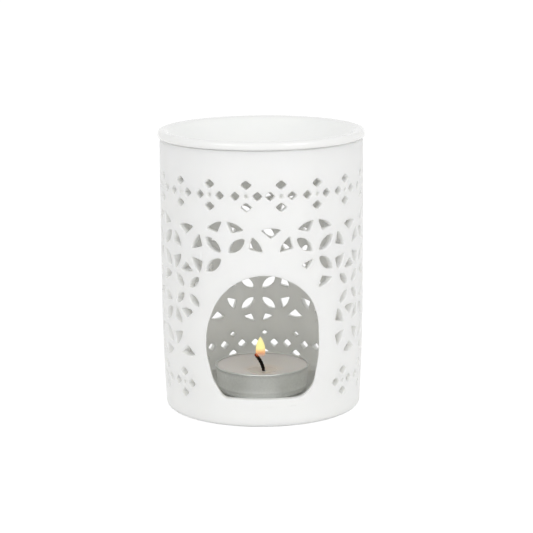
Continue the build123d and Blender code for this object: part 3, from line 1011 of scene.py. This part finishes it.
def makeWick(material):
    # The strands are wound round an upright axis, and the rope is then bent over
    bm = bmesh.new()
    for k in range(wick["strands"]):
        angle = 2 * pi * k / wick["strands"]
        out = wick["strandOut"]
        before = set(bm.verts)
        bmesh.ops.create_circle(
            bm, segments=wick["strandSides"], radius=wick["strandRadius"],
            matrix=Matrix.Translation((out * cos(angle), out * sin(angle), 0)),
        )
        verts = [v for v in bm.verts if v not in before]
        edges = {e for v in verts for e in v.link_edges}
        bmesh.ops.spin(
            bm, geom=verts + list(edges), cent=(0, 0, 0), axis=(0, 0, 1),
            dvec=(0, 0, wick["length"] / wick["steps"]), angle=2 * pi * wick["twists"],
            steps=wick["steps"],
        )
    bmesh.ops.holes_fill(bm, edges=bm.edges, sides=0)
    turn = radians(wick["bendTurn"])
    for vert in bm.verts:
        along = vert.co.z
        burnt = max(0, min(1, (along - wick["burntFrom"]) / wick["burntOver"]))
        narrow = max(0, along - wick["length"] + wick["tip"]) / wick["tip"]
        crumble = wick["crumble"] * noise.noise(vert.co * wick["crumbleScale"])
        size = 1 - (1 - wick["tipShare"]) * narrow**2
        size += burnt * (wick["burntSwell"] + crumble)
        across, back = vert.co.x * size, vert.co.y * size
        bent = max(0, min(turn, (along - wick["bendFrom"]) / wick["bendRadius"]))
        beyond = max(0, along - wick["bendFrom"] - turn * wick["bendRadius"])
        x = wick["bendRadius"] * (cos(bent) - 1) + across * cos(bent) - beyond * sin(bent)
        z = min(along, wick["bendFrom"]) + wick["bendRadius"] * sin(bent)
        z += across * sin(bent) + beyond * cos(bent)
        z += wick["from"]
        vert.co = (cup["side"] + x + wickSway(z), back, z)
    finishPiece(bm, "braided_wick", "tealight", material, ["wick"])


flame = {
    "middle": -0.95, "steps": 40,
    "section": [
        (0.0, 17.0), (1.0, 17.1), (1.5, 17.6), (1.75, 18.4), (1.9, 19.4), (1.95, 20.4),
        (1.93, 21.4), (1.85, 22.3), (1.65, 23.2), (1.35, 24.1), (0.98, 25.0), (0.58, 25.8),
        (0.22, 26.35), (0.0, 26.6),
    ],
}


def makeFlame(material):
    bm = bmesh.new()
    spinProfile(bm, flame["section"], flame["steps"], centre=flame["middle"])
    finishPiece(bm, "flame", "tealight", material).visible_shadow = False


makeCup(satinAluminium())
makeWax(paraffinWax(cup["side"], wax["poolRadius"]))
makeWick(charredWick(wick["emberFrom"], wick["emberTo"]))
makeFlame(candleFlame(flame["section"][0][1], flame["section"][-1][1]))
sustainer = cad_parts["wick_sustainer"]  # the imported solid, shown as it is
sustainer.data.materials.clear()
sustainer.data.materials.append(stampedSteel())


# Studio: a white floor that keeps a faint shadow, a soft dome and two softboxes
studio = {
    "floorSize": 12.0, "floorColour": 0.9, "floorGlow": 1.1, "shadowShare": 0.15, "dome": 0.7,
    "aimHeight": 0.06, "away": 1.1,
    "softboxes": [
        {"name": "left_softbox", "turn": -39, "rise": 27, "size": (0.8, 0.4), "power": 2.4},
        {"name": "right_softbox", "turn": 40, "rise": 27, "size": (0.5, 0.4), "power": 2.8},
    ],
}


def anyOfRays(tree, place):
    # 1 for rays from the camera and for those that show the background in gloss and glass
    path = addNode(tree, "ShaderNodeLightPath", place)
    camera = path.outputs["Is Camera Ray"]
    gloss = addMath(
        tree, (place[0] + 180, place[1]), "MAXIMUM", camera, path.outputs["Is Glossy Ray"]
    )
    return addMath(
        tree, (place[0] + 360, place[1]), "MAXIMUM", gloss, path.outputs["Is Transmission Ray"]
    )


def mixShaders(tree, outputKind, share, first, second):
    mix = addNode(tree, "ShaderNodeMixShader", (200, 0))
    for socket, value in zip(mix.inputs, (share, first.outputs[0], second.outputs[0])):
        feed(tree, socket, value)
    setInputs(tree, addNode(tree, outputKind, (400, 0)), {"Surface": mix.outputs[0]})


def makeFloor():
    material = bpy.data.materials.new("white_floor")
    material.use_nodes = True
    tree = material.node_tree
    tree.nodes.clear()
    plain = addNode(tree, "ShaderNodeBsdfDiffuse", (-200, -100))
    glow = addNode(tree, "ShaderNodeEmission", (-200, 100))
    setInputs(tree, plain, {"Color": (studio["floorColour"],) * 3})
    setInputs(tree, glow, {"Strength": studio["floorGlow"]})
    seen = anyOfRays(tree, (-600, 250))
    share = addMath(tree, (0, 250), "MULTIPLY", seen, 1 - studio["shadowShare"])
    mixShaders(tree, "ShaderNodeOutputMaterial", share, plain, glow)
    bm = bmesh.new()
    bmesh.ops.create_grid(bm, x_segments=1, y_segments=1, size=studio["floorSize"] / 2)
    mesh = toMesh(bm, "floor")
    mesh.materials.append(material)
    floor = addObject("floor", mesh)


def makeWorld():
    world = bpy.data.worlds.new("studio")
    bpy.context.scene.world = world
    world.use_nodes = True
    tree = world.node_tree
    tree.nodes.clear()
    dome = addNode(tree, "ShaderNodeBackground", (0, 100))
    white = addNode(tree, "ShaderNodeBackground", (0, -100))
    setInputs(tree, dome, {"Color": (1, 1, 1), "Strength": studio["dome"]})
    setInputs(tree, white, {"Color": (1, 1, 1)})
    mixShaders(tree, "ShaderNodeOutputWorld", anyOfRays(tree, (-600, 200)), dome, white)


def makeSoftbox(settings):
    lamp = bpy.data.lights.new(settings["name"], "AREA")
    lamp.shape = "RECTANGLE"
    lamp.size, lamp.size_y = settings["size"]
    lamp.energy = settings["power"]
    turn, rise = radians(settings["turn"]), radians(settings["rise"])
    toward = Vector((sin(turn) * cos(rise), -cos(turn) * cos(rise), sin(rise)))
    softbox = addObject(settings["name"], lamp)
    softbox.location = toward * studio["away"] + Vector((0, 0, studio["aimHeight"]))
    softbox.rotation_euler = toward.to_track_quat("Z", "Y").to_euler()


makeFloor()
makeWorld()
for settings in studio["softboxes"]:
    makeSoftbox(settings)
print("studio ready")

# Camera at the photograph's place, a little to the right of the arch and looking down at it
photo = {
    "place": (1.72, -741.0, 210.5), "tiltDown": 11.82, "roll": -0.42, "lens": 128.05,
    "sensor": 36.0, "clip": (0.05, 50.0),
}


def makeCamera():
    lens = bpy.data.cameras.new("photo_camera")
    lens.sensor_width, lens.lens = photo["sensor"], photo["lens"]
    lens.clip_start, lens.clip_end = photo["clip"]
    camera = addObject("photo_camera", lens)
    camera.location = [value * metresPerMm for value in photo["place"]]
    tilt = Matrix.Rotation(radians(90 - photo["tiltDown"]), 3, "X")
    camera.rotation_euler = (tilt @ Matrix.Rotation(radians(photo["roll"]), 3, "Z")).to_euler()
    bpy.context.scene.camera = camera


makeCamera()
bpy.context.scene.view_settings.view_transform = "Standard"
